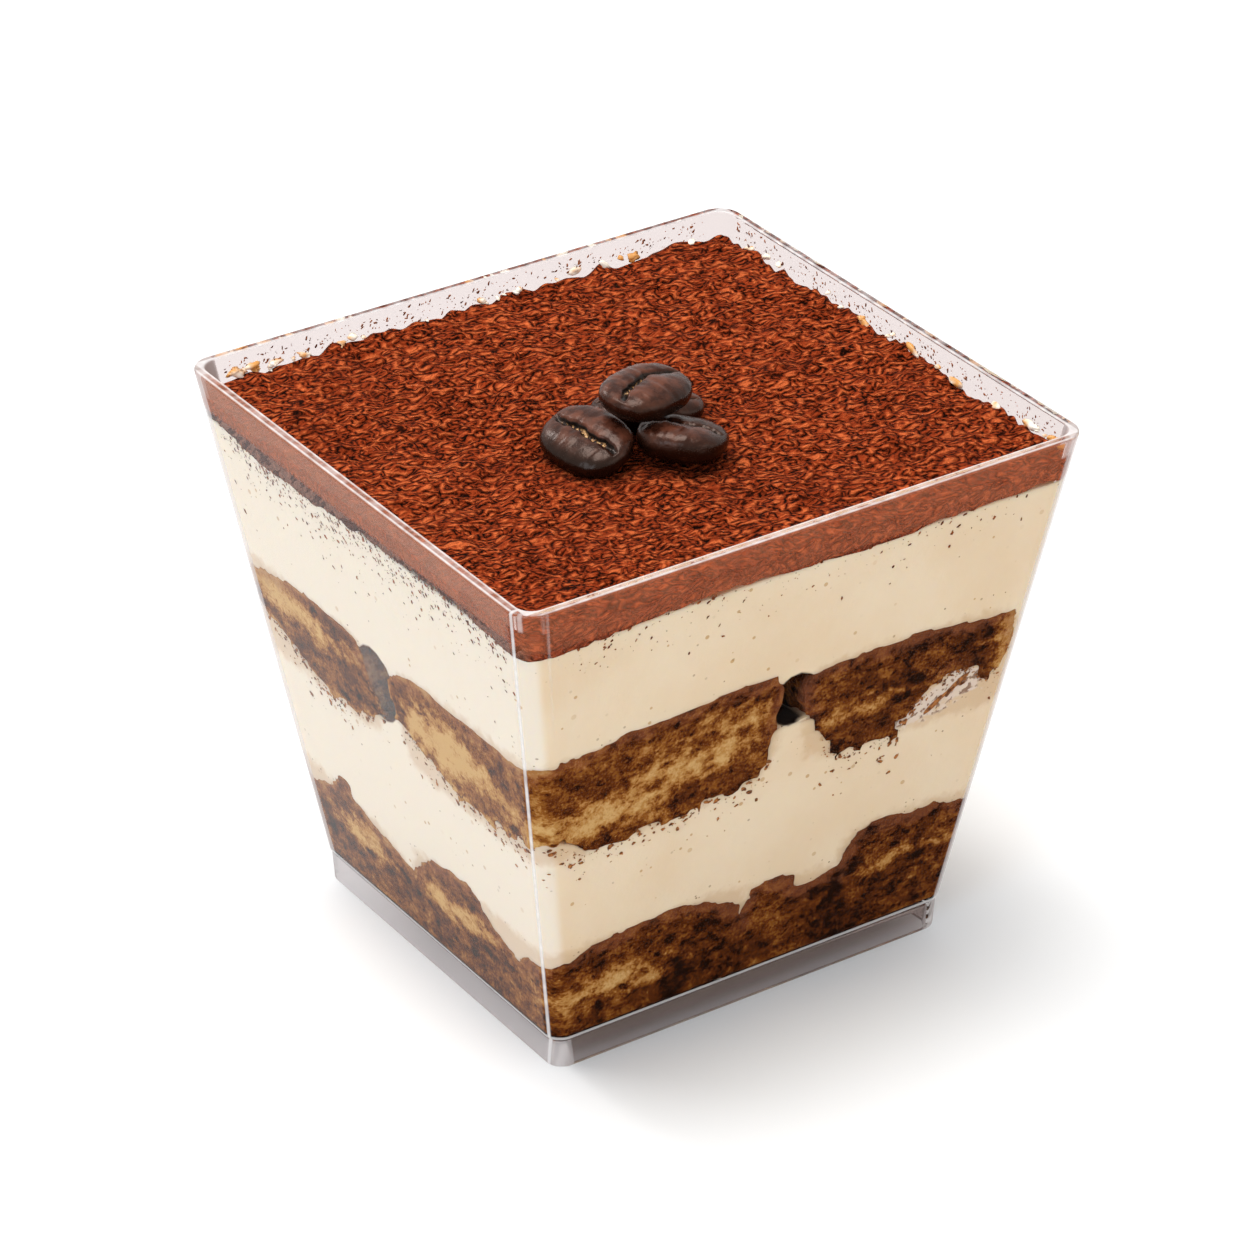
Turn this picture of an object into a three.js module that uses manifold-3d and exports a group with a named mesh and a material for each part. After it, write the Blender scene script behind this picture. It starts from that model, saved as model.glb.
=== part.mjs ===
// A single-serving tiramisu in an almost square clear plastic cup.
// Millimetres, +Z up. The origin is on the table, under the middle of the cup.
// -Y is the side with the wide gap between two sponge fingers, -X the side left of it.

import * as THREE from 'three';
import { mergeVertices } from 'three/addons/utils/BufferGeometryUtils.js';
import Module from 'manifold-3d';

const wasm = await Module();
wasm.setup();

// ---- driving dimensions ----

// The widths are along X. At every height the cup measures a little less along Y.
const CUP_HEIGHT = 62.6;
const TOP_WIDTH = 70;
const FLOOR_WIDTH = 51;
const FOOT_WIDTH = 50.2;
const LESS_ALONG_Y = 4;
const WALL = 1.2;
const FLOOR_LEVEL = 4.3;
const TOP_CORNER = 3;
const FOOT_CORNER = 2;
const RIM_ROUNDING = 0.3;
const FLOOR_FILLET = 0.8;

const GAP = 0.3;

const FILLING_TOP = 61.8;
const COCOA_LEVEL = 59.9;
const COCOA_THICKNESS = 2.7;
const COCOA_RELIEF = 0.45;
const SEAM_LEVEL = 36.5;

const BEAN_GROOVE = 0.7;
const BEAN_FULLNESS = 2.4;

// ---- helpers: rings, lofts and booleans ----

const CORNER_STEPS = 6;

// A closed loop of points round the cup's outline at one height, with rounded corners.
function outline(halfWidth, corner, height) {
  const points = [];
  const acrossX = halfWidth - corner;
  const acrossY = acrossX - LESS_ALONG_Y / 2;
  for (let quarter = 0; quarter < 4; quarter++) {
    for (let step = 0; step <= CORNER_STEPS; step++) {
      const turn = (quarter + step / CORNER_STEPS) * Math.PI / 2;
      const middle = (quarter + 0.5) * Math.PI / 2;
      const x = Math.sign(Math.cos(middle)) * acrossX + corner * Math.cos(turn);
      const y = Math.sign(Math.sin(middle)) * acrossY + corner * Math.sin(turn);
      points.push(new THREE.Vector3(x, y, height));
    }
  }
  return points;
}

// Skins a stack of rings of equal length and closes both ends with a fan.
function loft(rings) {
  const count = rings[0].length;
  const positions = rings.flat().flatMap((point) => point.toArray());
  const triangles = [];
  for (let level = 0; level + 1 < rings.length; level++) {
    for (let side = 0; side < count; side++) {
      const here = level * count + side;
      const next = level * count + (side + 1) % count;
      triangles.push(here, next, next + count, here, next + count, here + count);
    }
  }
  const last = (rings.length - 1) * count;
  for (let side = 1; side + 1 < count; side++) {
    triangles.push(0, side + 1, side);
    triangles.push(last, last + side, last + side + 1);
  }
  const geometry = new THREE.BufferGeometry();
  geometry.setAttribute('position', new THREE.Float32BufferAttribute(positions, 3));
  geometry.setIndex(triangles);
  return geometry;
}

function solidOf(geometry) {
  const bare = geometry.clone();
  bare.deleteAttribute('normal');
  bare.deleteAttribute('uv');
  const merged = mergeVertices(bare, 1e-5);
  return new wasm.Manifold(new wasm.Mesh({
    numProp: 3,
    vertProperties: new Float32Array(merged.attributes.position.array),
    triVerts: new Uint32Array(merged.index.array),
  }));
}

function geometryOf(solid) {
  const { vertProperties, triVerts } = solid.getMesh();
  const geometry = new THREE.BufferGeometry();
  geometry.setAttribute('position', new THREE.BufferAttribute(vertProperties, 3));
  geometry.setIndex(new THREE.BufferAttribute(triVerts, 1));
  return geometry;
}

// Cutting can leave loose scraps: only the main piece is kept.
function mainPiece(solid) {
  const pieces = solid.decompose();
  return pieces.reduce((best, piece) => (piece.volume() > best.volume() ? piece : best));
}

function cutBy(solid, cutters) {
  return cutters.reduce((rest, cutter) => rest.subtract(cutter), solid);
}

// Slow waves in three directions, from -1 to 1, that make food uneven.
function unevenness(x, y, z, wavelength, shift) {
  const pace = 2 * Math.PI / wavelength;
  const first = Math.sin(pace * (x + 0.4 * y) + shift) * Math.cos(pace * 0.8 * (z - 0.3 * x) + 2 * shift);
  const second = Math.sin(pace * 1.7 * (y - 0.5 * z) + 3 * shift) * Math.cos(pace * 1.3 * x - shift);
  return 0.6 * first + 0.4 * second;
}

// ---- the cup: a tapered beaker on an open skirt ----

const floorUnderside = FLOOR_LEVEL - WALL;

// How far up the tapered wall a height is, from 0 at the floor to 1 at the rim.
function rise(height) {
  return (height - FLOOR_LEVEL) / (CUP_HEIGHT - FLOOR_LEVEL);
}

function wallRing(inset, height, level = height) {
  const halfWidth = THREE.MathUtils.lerp(FLOOR_WIDTH, TOP_WIDTH, rise(height)) / 2;
  const corner = THREE.MathUtils.lerp(FOOT_CORNER, TOP_CORNER, rise(height));
  return outline(halfWidth - inset, Math.max(corner - inset, 0.5), level);
}

function makeCup() {
  const skirtInside = FOOT_WIDTH / 2 - WALL;
  const skirtCorner = FOOT_CORNER - WALL;
  return loft([
    outline(skirtInside, skirtCorner, floorUnderside),
    outline(skirtInside, skirtCorner, 0),
    outline(FOOT_WIDTH / 2, FOOT_CORNER, 0),
    wallRing(0, FLOOR_LEVEL),
    wallRing(0, CUP_HEIGHT - RIM_ROUNDING),
    wallRing(RIM_ROUNDING, CUP_HEIGHT),
    wallRing(WALL - RIM_ROUNDING, CUP_HEIGHT),
    wallRing(WALL, CUP_HEIGHT - RIM_ROUNDING),
    wallRing(WALL, FLOOR_LEVEL + FLOOR_FILLET),
    wallRing(WALL + FLOOR_FILLET, FLOOR_LEVEL),
  ]);
}

// The room inside the cup, a gap clear of its walls, between two heights.
function filling(bottom, top) {
  const inset = WALL + GAP;
  const fillet = wallRing(inset + FLOOR_FILLET, FLOOR_LEVEL, FLOOR_LEVEL + GAP);
  const rings = bottom > FLOOR_LEVEL + FLOOR_FILLET + GAP
    ? [wallRing(inset, bottom)]
    : [fillet, wallRing(inset, FLOOR_LEVEL + FLOOR_FILLET + GAP)];
  return solidOf(loft([...rings, wallRing(inset, top)]));
}

// ---- sponge fingers: soaked chunks, two by two in each of two layers ----

const FINGER_ROUNDING = 3.4;
const FINGER_SEGMENTS = [7, 7, 5];
const FINGER_LUMP = 0.45;
const LUMP_LENGTH = 11;

// OUT is past the walls at every height and UNDER is below the floor, so a chunk that
// reaches them is cut flat by the cup.
const OUT = 36;
const UNDER = -2;

// x, y and z are the extents; lean is the rise of the chunk per millimetre along x and y.
// Where two chunks are pressed together, the later one in the list gives way.
const lowerFingers = [
  { name: 'finger_lower_front', x: [-OUT, -1.9], y: [-OUT, 2.2], z: [UNDER, 16.2], lean: [0.04, 0.02] },
  { name: 'finger_lower_right', x: [9.6, OUT], y: [-OUT, -1.2], z: [UNDER, 18.5], lean: [-0.04, -0.03] },
  { name: 'finger_lower_left', x: [-OUT, -1.6], y: [2.8, OUT], z: [UNDER, 15.8], lean: [0, 0.12] },
  { name: 'finger_lower_back', x: [-1, OUT], y: [-0.8, OUT], z: [UNDER, 17.2], lean: [0.04, -0.05] },
  { name: 'finger_lower_scrap', x: [-2.6, 11], y: [-OUT, -8.5], z: [UNDER, 15.1], lean: [-0.13, 0] },
];
const upperFingers = [
  { name: 'finger_upper_front', x: [-OUT, -0.8], y: [-OUT, -1.6], z: [29.4, 42.5], lean: [0.06, -0.03] },
  { name: 'finger_upper_right', x: [2.3, 29.8], y: [-OUT, -1.3], z: [30.3, 43], lean: [-0.03, 0] },
  { name: 'finger_upper_left', x: [-OUT, -2.1], y: [2.6, OUT], z: [29.7, 41.6], lean: [0.03, 0] },
  { name: 'finger_upper_back', x: [2.4, OUT], y: [2.2, OUT], z: [30, 42.5], lean: [0.02, -0.03] },
];
const fingers = [...lowerFingers, ...upperFingers];

// A box with rounded edges and an uneven skin; grow makes it larger all round.
function fingerBlock({ x, y, z, lean }, grow) {
  const low = new THREE.Vector3(x[0], y[0], z[0]);
  const high = new THREE.Vector3(x[1], y[1], z[1]);
  const size = high.clone().sub(low);
  const middle = low.clone().add(high).multiplyScalar(0.5);
  const block = new THREE.BoxGeometry(size.x, size.y, size.z, ...FINGER_SEGMENTS);
  const core = size.clone().multiplyScalar(0.5).subScalar(FINGER_ROUNDING);
  const places = block.attributes.position;
  for (let index = 0; index < places.count; index++) {
    const point = new THREE.Vector3().fromBufferAttribute(places, index);
    const inner = point.clone().clamp(core.clone().negate(), core);
    const outward = point.clone().sub(inner).normalize();
    const at = inner.clone().add(middle);
    const lump = FINGER_LUMP * unevenness(at.x, at.y, at.z, LUMP_LENGTH, size.x);
    point.copy(inner).addScaledVector(outward, FINGER_ROUNDING + lump + grow);
    point.z += lean[0] * point.x + lean[1] * point.y;
    point.add(middle);
    places.setXYZ(index, point.x, point.y, point.z);
  }
  return solidOf(block);
}

// ---- hollows that the cream leaves between two fingers, behind the wall ----

const HOLLOW_SEGMENTS = [14, 10];
const hollows = [
  { centre: [0.8, -27, 40.5], radii: [3.5, 7, 3.2] },
  { centre: [-28.5, 2, 37], radii: [7, 3.7, 4.4] },
];

function hollow({ centre, radii }) {
  const ball = new THREE.SphereGeometry(1, ...HOLLOW_SEGMENTS);
  ball.scale(...radii);
  ball.translate(...centre);
  return solidOf(ball);
}

// ---- the cocoa: a thick dusting, crumbly on top, with a ragged underside ----

const COCOA_CELLS = 29;
const UNDERSIDE_CELLS = 12;
const CRUMB_LENGTH = 4.2;
const UNDERSIDE_WAVE = 13;
const UNDERSIDE_RELIEF = 0.35;

function cocoaTop(x, y) {
  return COCOA_LEVEL + COCOA_RELIEF * unevenness(x, y, 0, CRUMB_LENGTH, 1);
}

function cocoaUnderside(x, y) {
  return COCOA_LEVEL - COCOA_THICKNESS + UNDERSIDE_RELIEF * unevenness(x, y, 0, UNDERSIDE_WAVE, 2);
}

// A square sheet of cells at the heights that a function gives, as a closed block
// that reaches from the sheet to a flat end far above or below it.
function blockFrom(sheet, cells, flatEnd) {
  const width = 2 * OUT;
  const sheetOnTop = flatEnd < sheet(0, 0);
  const block = new THREE.BoxGeometry(width, width, 1, cells, cells, 1);
  const places = block.attributes.position;
  for (let index = 0; index < places.count; index++) {
    const x = places.getX(index);
    const y = places.getY(index);
    const onSheet = (places.getZ(index) > 0) === sheetOnTop;
    places.setZ(index, onSheet ? sheet(x, y) : flatEnd);
  }
  return solidOf(block);
}

function makeCocoa(room) {
  const above = blockFrom(cocoaUnderside, UNDERSIDE_CELLS, CUP_HEIGHT);
  const below = blockFrom(cocoaTop, COCOA_CELLS, SEAM_LEVEL);
  return room.intersect(below).intersect(above);
}

// ---- coffee beans: a domed back, a flatter face and a groove along it ----

const BEAN_SEGMENTS = [18, 13];
const GROOVE_WIDTH = 0.14;
const FACE_RISE = 0.72;

// size is length, width and thickness. turn is about Z; then the bean dips by pitch along
// its length and rolls about it. groove is how far off its middle line the groove runs.
const beans = [
  {
    name: 'bean_left', at: [-8.6, -4.5, 62], size: [10.6, 8.1, 4.7],
    turn: -81, pitch: 4, roll: 19, groove: 0,
  },
  {
    name: 'bean_right', at: [-0.2, -9.6, 62.2], size: [9.5, 8.8, 4.9],
    turn: -51, pitch: 2, roll: -13, groove: 0,
  },
  {
    name: 'bean_back', at: [1, -1.3, 61.6], size: [12, 5.8, 4.4],
    turn: -30, pitch: 0, roll: 0, groove: 0,
  },
  {
    name: 'bean_top', at: [-2, -5.5, 66.3], size: [10.4, 8.2, 4.4],
    turn: 18, pitch: 2, roll: 4, groove: 0.08,
  },
];

function beanGeometry({ size, groove }, grow) {
  const [length, width, thickness] = size.map((side) => side + 2 * grow);
  const bean = new THREE.SphereGeometry(0.5, ...BEAN_SEGMENTS);
  const places = bean.attributes.position;
  for (let index = 0; index < places.count; index++) {
    const point = new THREE.Vector3().fromBufferAttribute(places, index).multiplyScalar(2);
    const sum = point.toArray().reduce((total, side) => total + Math.abs(side) ** BEAN_FULLNESS, 0);
    const [across, along, up] = point.divideScalar(2 * sum ** (1 / BEAN_FULLNESS)).toArray();
    const facing = up > 0 ? FACE_RISE : 1;
    const trough = Math.exp(-(((across + groove) / GROOVE_WIDTH) ** 2)) * Math.max(up, 0) * 2;
    places.setXYZ(index, along * length, -across * width, up * facing * thickness - trough * BEAN_GROOVE);
  }
  return bean;
}

function beanTurn({ turn, pitch, roll }) {
  const [x, y, z] = [roll, pitch, turn].map(THREE.MathUtils.degToRad);
  return new THREE.Euler(x, y, z, 'ZYX');
}

// The bean as a cutter, a gap larger all round, for the dent that it presses in the cocoa.
function beanCutter(bean) {
  const cutter = beanGeometry(bean, GAP);
  cutter.applyMatrix4(new THREE.Matrix4().makeRotationFromEuler(beanTurn(bean)));
  cutter.translate(...bean.at);
  return solidOf(cutter);
}

// ---- materials ----

function material(color, roughness) {
  return new THREE.MeshStandardMaterial({ color, roughness, metalness: 0 });
}

const clearPlastic = material(0xe8e8ea, 0.06);
clearPlastic.transparent = true;
clearPlastic.opacity = 0.35;
const soakedSponge = material(0x7a4a22, 0.85);
const mascarponeCream = material(0xefe0c2, 0.55);
const cocoaPowder = material(0x6e2c14, 0.95);
const roastedBean = material(0x2c1811, 0.35);

// ---- the whole ----

const tiramisu = new THREE.Group();

function place(name, geometry, finish) {
  const mesh = new THREE.Mesh(geometry, finish);
  mesh.name = name;
  tiramisu.add(mesh);
  return mesh;
}

place('cup', makeCup(), clearPlastic);

const room = filling(FLOOR_LEVEL, FILLING_TOP);
const fingersWithGap = fingers.map((finger) => fingerBlock(finger, GAP));
fingers.forEach((finger, index) => {
  const whole = room.intersect(fingerBlock(finger, 0));
  const piece = mainPiece(cutBy(whole, fingersWithGap.slice(0, index)));
  place(finger.name, geometryOf(piece), soakedSponge);
});

const hollowCutters = hollows.map(hollow);
const cocoa = cutBy(makeCocoa(room), beans.map(beanCutter));
const cocoaRoom = blockFrom((x, y) => cocoaUnderside(x, y) - GAP, UNDERSIDE_CELLS, CUP_HEIGHT);

const lowerRoom = filling(FLOOR_LEVEL, SEAM_LEVEL);
const lowerCream = mainPiece(cutBy(lowerRoom, [...fingersWithGap, ...hollowCutters]));
place('cream_lower', geometryOf(lowerCream), mascarponeCream);

const upperRoom = filling(SEAM_LEVEL + GAP, FILLING_TOP);
const upperCream = mainPiece(cutBy(upperRoom, [...fingersWithGap, ...hollowCutters, cocoaRoom]));
place('cream_upper', geometryOf(upperCream), mascarponeCream);

place('cocoa', geometryOf(cocoa), cocoaPowder);

for (const bean of beans) {
  const mesh = place(bean.name, beanGeometry(bean, 0), roastedBean);
  mesh.position.set(...bean.at);
  mesh.rotation.copy(beanTurn(bean));
}

export default tiramisu;
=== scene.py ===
"""A single-serving tiramisu in an almost square clear cup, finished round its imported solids."""

from math import cos, pi, radians, sin, tan

import bmesh
import bpy
import numpy as np
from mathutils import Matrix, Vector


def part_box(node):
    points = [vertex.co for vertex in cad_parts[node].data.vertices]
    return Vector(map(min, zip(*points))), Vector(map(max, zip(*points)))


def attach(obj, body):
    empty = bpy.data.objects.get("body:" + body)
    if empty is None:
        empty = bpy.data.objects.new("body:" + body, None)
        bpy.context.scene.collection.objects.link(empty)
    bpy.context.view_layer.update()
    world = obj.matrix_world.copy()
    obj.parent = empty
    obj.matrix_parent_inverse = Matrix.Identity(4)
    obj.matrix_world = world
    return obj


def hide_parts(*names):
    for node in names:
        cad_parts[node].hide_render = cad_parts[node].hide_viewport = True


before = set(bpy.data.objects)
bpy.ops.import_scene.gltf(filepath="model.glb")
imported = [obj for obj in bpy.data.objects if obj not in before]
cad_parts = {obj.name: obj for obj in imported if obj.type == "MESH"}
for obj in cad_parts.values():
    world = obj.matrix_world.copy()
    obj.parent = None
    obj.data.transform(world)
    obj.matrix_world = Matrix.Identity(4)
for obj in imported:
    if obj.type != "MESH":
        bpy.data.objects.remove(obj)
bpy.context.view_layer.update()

import openvdb as vdb
from mathutils import Matrix, Vector

# ---- Camera ----
# A long lens a little over half a metre away, which looks down on the corner that the two
# shown sides share. Millimetres and degrees.

CAMERA_PLACE = Vector((-270.3, -400.9, 316.2))
CAMERA_AZIMUTH = radians(-33.93)
CAMERA_ELEVATION = radians(30.2)
LENS_LENGTH = 149.93
SENSOR_WIDTH = 36.0
METRE = 1000.0

back = Vector((
    sin(CAMERA_AZIMUTH) * cos(CAMERA_ELEVATION),
    -cos(CAMERA_AZIMUTH) * cos(CAMERA_ELEVATION),
    sin(CAMERA_ELEVATION),
))
right = Vector((cos(CAMERA_AZIMUTH), sin(CAMERA_AZIMUTH), 0))
lens = bpy.data.cameras.new("lens")
lens.sensor_width = SENSOR_WIDTH
lens.lens = LENS_LENGTH
camera = bpy.data.objects.new("camera", lens)
camera.matrix_world = Matrix.Translation(CAMERA_PLACE / METRE) @ Matrix(
    (right, back.cross(right), back)
).transposed().to_4x4()
bpy.context.scene.collection.objects.link(camera)
bpy.context.scene.camera = camera
bpy.context.scene.view_settings.view_transform = "Standard"


# ---- Studio ----
# A white table in a white room. One soft light hangs high above the cup, a little behind it
# and to its left, a small one glances over it from behind, and two weak ones fill the sides.

class Paint:
    """A socket of a material. Sums on it add Math nodes, and add() makes any other node."""

    def __init__(self, socket):
        self.socket = socket
        self.tree = socket.id_data

    def add(self, kind, settings, sockets, output=0):
        node = self.tree.nodes.new("ShaderNode" + kind)
        for name, value in settings.items():
            setattr(node, name, value)
        for name, value in sockets.items():
            if isinstance(value, Paint):
                self.tree.links.new(value.socket, node.inputs[name])
            else:
                node.inputs[name].default_value = value
        return Paint(node.outputs[output])

    def sum(self, operation, *terms):
        return self.add("Math", {"operation": operation}, dict(enumerate(terms)))

    def __add__(self, other):
        return self.sum("ADD", self, other)

    def __sub__(self, other):
        return self.sum("SUBTRACT", self, other)

    def __rsub__(self, other):
        return self.sum("SUBTRACT", other, self)

    def __mul__(self, other):
        return self.sum("MULTIPLY", self, other)

    def __truediv__(self, other):
        return self.sum("DIVIDE", self, other)

    def __pow__(self, other):
        return self.sum("POWER", self, other)

    def __or__(self, other):
        return self.sum("MAXIMUM", self, other)

    def __abs__(self):
        return self.sum("ABSOLUTE", self)

    __radd__ = __add__
    __rmul__ = __mul__

    def rise(self, low, high):
        """0 up to low, 1 from high on, and a soft slope between them."""
        return self.add(
            "MapRange", {"interpolation_type": "SMOOTHSTEP"},
            {"Value": self, "From Min": low, "From Max": high},
        )

    def blend(self, first, second):
        """The first colour where this is 0, and the second where it is 1."""
        return self.add("Mix", {"data_type": "RGBA"}, {0: self, 6: first, 7: second}, 2)

    def mixed(self, first, second):
        """The first shader where this is 0, and the second where it is 1."""
        return self.add("MixShader", {}, {0: self, 1: first, 2: second})

    def bumps(self, depth, strength):
        """Normals of a surface that this raises, by as much as a depth in millimetres."""
        inputs = {"Height": self, "Distance": depth / METRE, "Strength": strength}
        return self.add("Bump", {}, inputs)

    def stored(self, name):
        """A number that the mesh keeps for each of its points."""
        return self.add("Attribute", {"attribute_name": name}, {}, "Fac")

    def part(self, way):
        """The X, Y or Z of a place."""
        return self.add("SeparateXYZ", {}, {0: self}, way)

    def scaled(self, across, along, up):
        return self.add("VectorMath", {"operation": "MULTIPLY"}, {0: self, 1: (across, along, up)})

    def shifted(self, by):
        """A place moved by a vector, or by the same number all three ways."""
        return self.add("VectorMath", {"operation": "ADD"}, {0: self, 1: by})

    def turned(self, degrees):
        """A place turned about Z."""
        return self.add("VectorRotate", {}, {"Vector": self, "Angle": radians(degrees)})

    def noise(self, size, detail=2.0, shift=0.0, rough=0.5):
        """Cloudy noise round 0.5, with lumps of this size, on a place in millimetres."""
        moved = self.shifted((shift, shift, -shift))
        inputs = {"Vector": moved, "Scale": 1 / size, "Detail": detail, "Roughness": rough}
        return self.add("TexNoise", {}, inputs)

    def specks(self, size, share, shift=0.0):
        """1 in small spots: size is the distance between them, and share how many are there."""
        moved = self.shifted((shift, -shift, shift))
        cells = self.add("TexVoronoi", {}, {"Vector": moved, "Scale": 1 / size})
        chance = self.add("SeparateColor", {}, {0: Paint(cells.socket.node.outputs["Color"])})
        return (cells - 0.32 * chance / share).rise(0.02, -0.04) * (share - chance).rise(0, 0.05)


def linear(red, green, blue):
    """A colour given as a screen shows it, from 0 to 255."""
    shares = (value / 255 for value in (red, green, blue))
    return (*((s / 12.92 if s < 0.04 else ((s + 0.055) / 1.055) ** 2.4) for s in shares), 1)


def finish_named(name):
    """A new material: its Principled shader, and a place in millimetres to paint by."""
    material = bpy.data.materials.new(name)
    material.use_nodes = True
    shader = material.node_tree.nodes["Principled BSDF"]
    here = Paint(shader.outputs[0]).add("TexCoord", {}, {}, "Object")
    place = here.add("VectorMath", {"operation": "SCALE"}, {0: here, "Scale": METRE})
    return material, shader.inputs, place


def brush(inputs, **values):
    """Sets a shader's sockets, underscores for spaces, to numbers, colours or Paint."""
    for name, value in values.items():
        socket = inputs[name.replace("_", " ")]
        if isinstance(value, Paint):
            value.tree.links.new(value.socket, socket)
        else:
            socket.default_value = value


TABLE_HALF = 3.0
TABLE_WHITE = (0.865, 0.86, 0.855, 1)
ROOM_LIGHT = 0.77

table_mesh = bpy.data.meshes.new("table")
corner_ways = ((-1, -1), (1, -1), (1, 1), (-1, 1))
table_corners = [(x * TABLE_HALF, y * TABLE_HALF, 0) for x, y in corner_ways]
table_mesh.from_pydata(table_corners, [], [(0, 1, 2, 3)])
table = bpy.data.objects.new("table", table_mesh)
bpy.context.scene.collection.objects.link(table)
table_white, sockets, place = finish_named("table_white")
brush(sockets, Base_Color=TABLE_WHITE, Roughness=0.6, Specular_IOR_Level=0.2)
table_mesh.materials.append(table_white)

room = bpy.data.worlds.new("room")
room.use_nodes = True
room.node_tree.nodes["Background"].inputs[0].default_value = (1, 1, 1, 1)
room.node_tree.nodes["Background"].inputs[1].default_value = ROOM_LIGHT
bpy.context.scene.world = room


def soft_light(name, place, aim, width, height, watts, colour=(1, 1, 1)):
    """A flat lamp of this size in metres, which faces a point of the cup."""
    lamp = bpy.data.lights.new(name, "AREA")
    lamp.shape = "RECTANGLE"
    lamp.size = width
    lamp.size_y = height
    lamp.energy = watts
    lamp.color = colour
    holder = bpy.data.objects.new(name, lamp)
    holder.location = place
    holder.rotation_euler = (Vector(place) - Vector(aim)).to_track_quat("Z", "Y").to_euler()
    bpy.context.scene.collection.objects.link(holder)


CUP_MIDDLE = (0, 0, 0.03)
soft_light("overhead", (-0.2, 0.28, 1.6), CUP_MIDDLE, 0.9, 0.9, 20)
soft_light("behind_left", (-0.3, 1.3, 0.95), CUP_MIDDLE, 0.3, 0.3, 4)
soft_light("left_fill", (-1.3, -0.5, 0.7), CUP_MIDDLE, 0.5, 0.9, 5.5, (0.6, 0.8, 1))
soft_light("front_fill", (0.5, -1.4, 0.8), CUP_MIDDLE, 0.9, 0.7, 2)


# ---- Cup ----
# A beaker of clear polystyrene, moulded in one piece: flat walls that lean out, a rim left as
# it came from the mould, and a floor that stands clear of the table on an open skirt.

CUP_HEIGHT = 62.6
TOP_HALF = 35.0
FLOOR_HALF = 25.5
FOOT_HALF = 25.1
LESS_ALONG_Y = np.array([0.0, 2.0])
WALL = 1.2
FLOOR_LEVEL = 4.3
STEP_LEVEL = 3.7
TOP_CORNER = 3.0
FOOT_CORNER = 2.0
RIM_ROUNDING = 0.3
FOOT_ROUNDING = 0.35
SKIRT_FILLET = 0.6
SKIRT_LEAN = 0.15
FLOOR_FILLET = 0.8
CORNER_TURNS = 14
ROUNDING_STEPS = 5
PLASTIC_BEND = 1.56
PLASTIC_TINT = (0.80, 0.757, 0.748, 1)
FILM_LEVEL = 58.2
slope = (TOP_HALF - FLOOR_HALF) / (CUP_HEIGHT - FLOOR_LEVEL)
corner_slope = (TOP_CORNER - FOOT_CORNER) / (CUP_HEIGHT - FLOOR_LEVEL)


def wall_at(height):
    """Half the cup's outer width along X, and its corner's radius. Takes arrays and Paint too."""
    above = height - FLOOR_LEVEL
    return above * slope + FLOOR_HALF, above * corner_slope + FOOT_CORNER


def softened(corners):
    """A line through (across, up, radius) corners, each one rounded to its radius."""
    line = [np.array(corners[0][:2])]
    for before, here, after in zip(corners, corners[1:], corners[2:]):
        at = np.array(here[:2])
        back_way = np.array(before[:2]) - at
        on_way = np.array(after[:2]) - at
        back_way /= np.linalg.norm(back_way)
        on_way /= np.linalg.norm(on_way)
        half = np.arccos(np.clip(back_way @ on_way, -1, 1)) / 2
        middle = back_way + on_way
        centre = at + middle / np.linalg.norm(middle) * here[2] / sin(half)
        start = at + back_way * here[2] / tan(half) - centre
        stop = at + on_way * here[2] / tan(half) - centre
        for share in np.linspace(0, 1, ROUNDING_STEPS):
            spoke = start * (1 - share) + stop * share
            line.append(centre + spoke / np.linalg.norm(spoke) * here[2])
    line.append(np.array(corners[-1][:2]))
    return line


def cup_ring(half, corner, height):
    """Points round the cup's outline, with rounded corners. half is half its width along X."""
    straight = half - corner - LESS_ALONG_Y
    points = []
    for quarter in range(4):
        middle = (quarter + 0.5) * pi / 2
        centre = np.sign([cos(middle), sin(middle)]) * straight
        for turn in (quarter + np.linspace(0, 1, CORNER_TURNS + 1)) * pi / 2:
            points.append((*(centre + corner * np.array([cos(turn), sin(turn)])), height))
    return points


def make_piece(name, points, faces, material, replaced=()):
    """A smooth mesh from points in millimetres, which rides with the cup."""
    mesh = bpy.data.meshes.new(name)
    mesh.from_pydata(np.asarray(points) / METRE, [], faces)
    mesh.shade_smooth()
    mesh.materials.append(material)
    piece = bpy.data.objects.new(name, mesh)
    bpy.context.scene.collection.objects.link(piece)
    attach(piece, "root")
    if replaced:
        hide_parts(*replaced)
    return piece


def flatter_normals(mesh):
    """Normals that follow the larger faces, so that a flat wall mirrors as a flat one."""
    normals = np.zeros((len(mesh.vertices), 3))
    for face in mesh.polygons:
        normals[list(face.vertices)] += np.array(face.normal) * face.area
    normals /= np.linalg.norm(normals, axis=1)[:, None]
    mesh.normals_split_custom_set_from_vertices(normals)


inner_floor = FLOOR_HALF - WALL
profile = softened([
    (FOOT_HALF - 5, FLOOR_LEVEL - WALL, 0),
    (FOOT_HALF - WALL, FLOOR_LEVEL - WALL, SKIRT_FILLET),
    (FOOT_HALF - WALL, 0, 0.3),
    (FOOT_HALF, 0, FOOT_ROUNDING),
    (FOOT_HALF + SKIRT_LEAN, STEP_LEVEL, 0.1),
    (FLOOR_HALF - 0.05, STEP_LEVEL + 0.25, 0.15),
    (TOP_HALF, CUP_HEIGHT, RIM_ROUNDING),
    (TOP_HALF - WALL, CUP_HEIGHT, RIM_ROUNDING),
    (inner_floor, FLOOR_LEVEL, FLOOR_FILLET),
    (inner_floor - 4, FLOOR_LEVEL, 0),
])
rings = []
for half, height in profile:
    full, corner = wall_at(height)
    rings += cup_ring(half, max(corner - max(full - half, 0), 0.5), height)
count = 4 * (CORNER_TURNS + 1)
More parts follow.
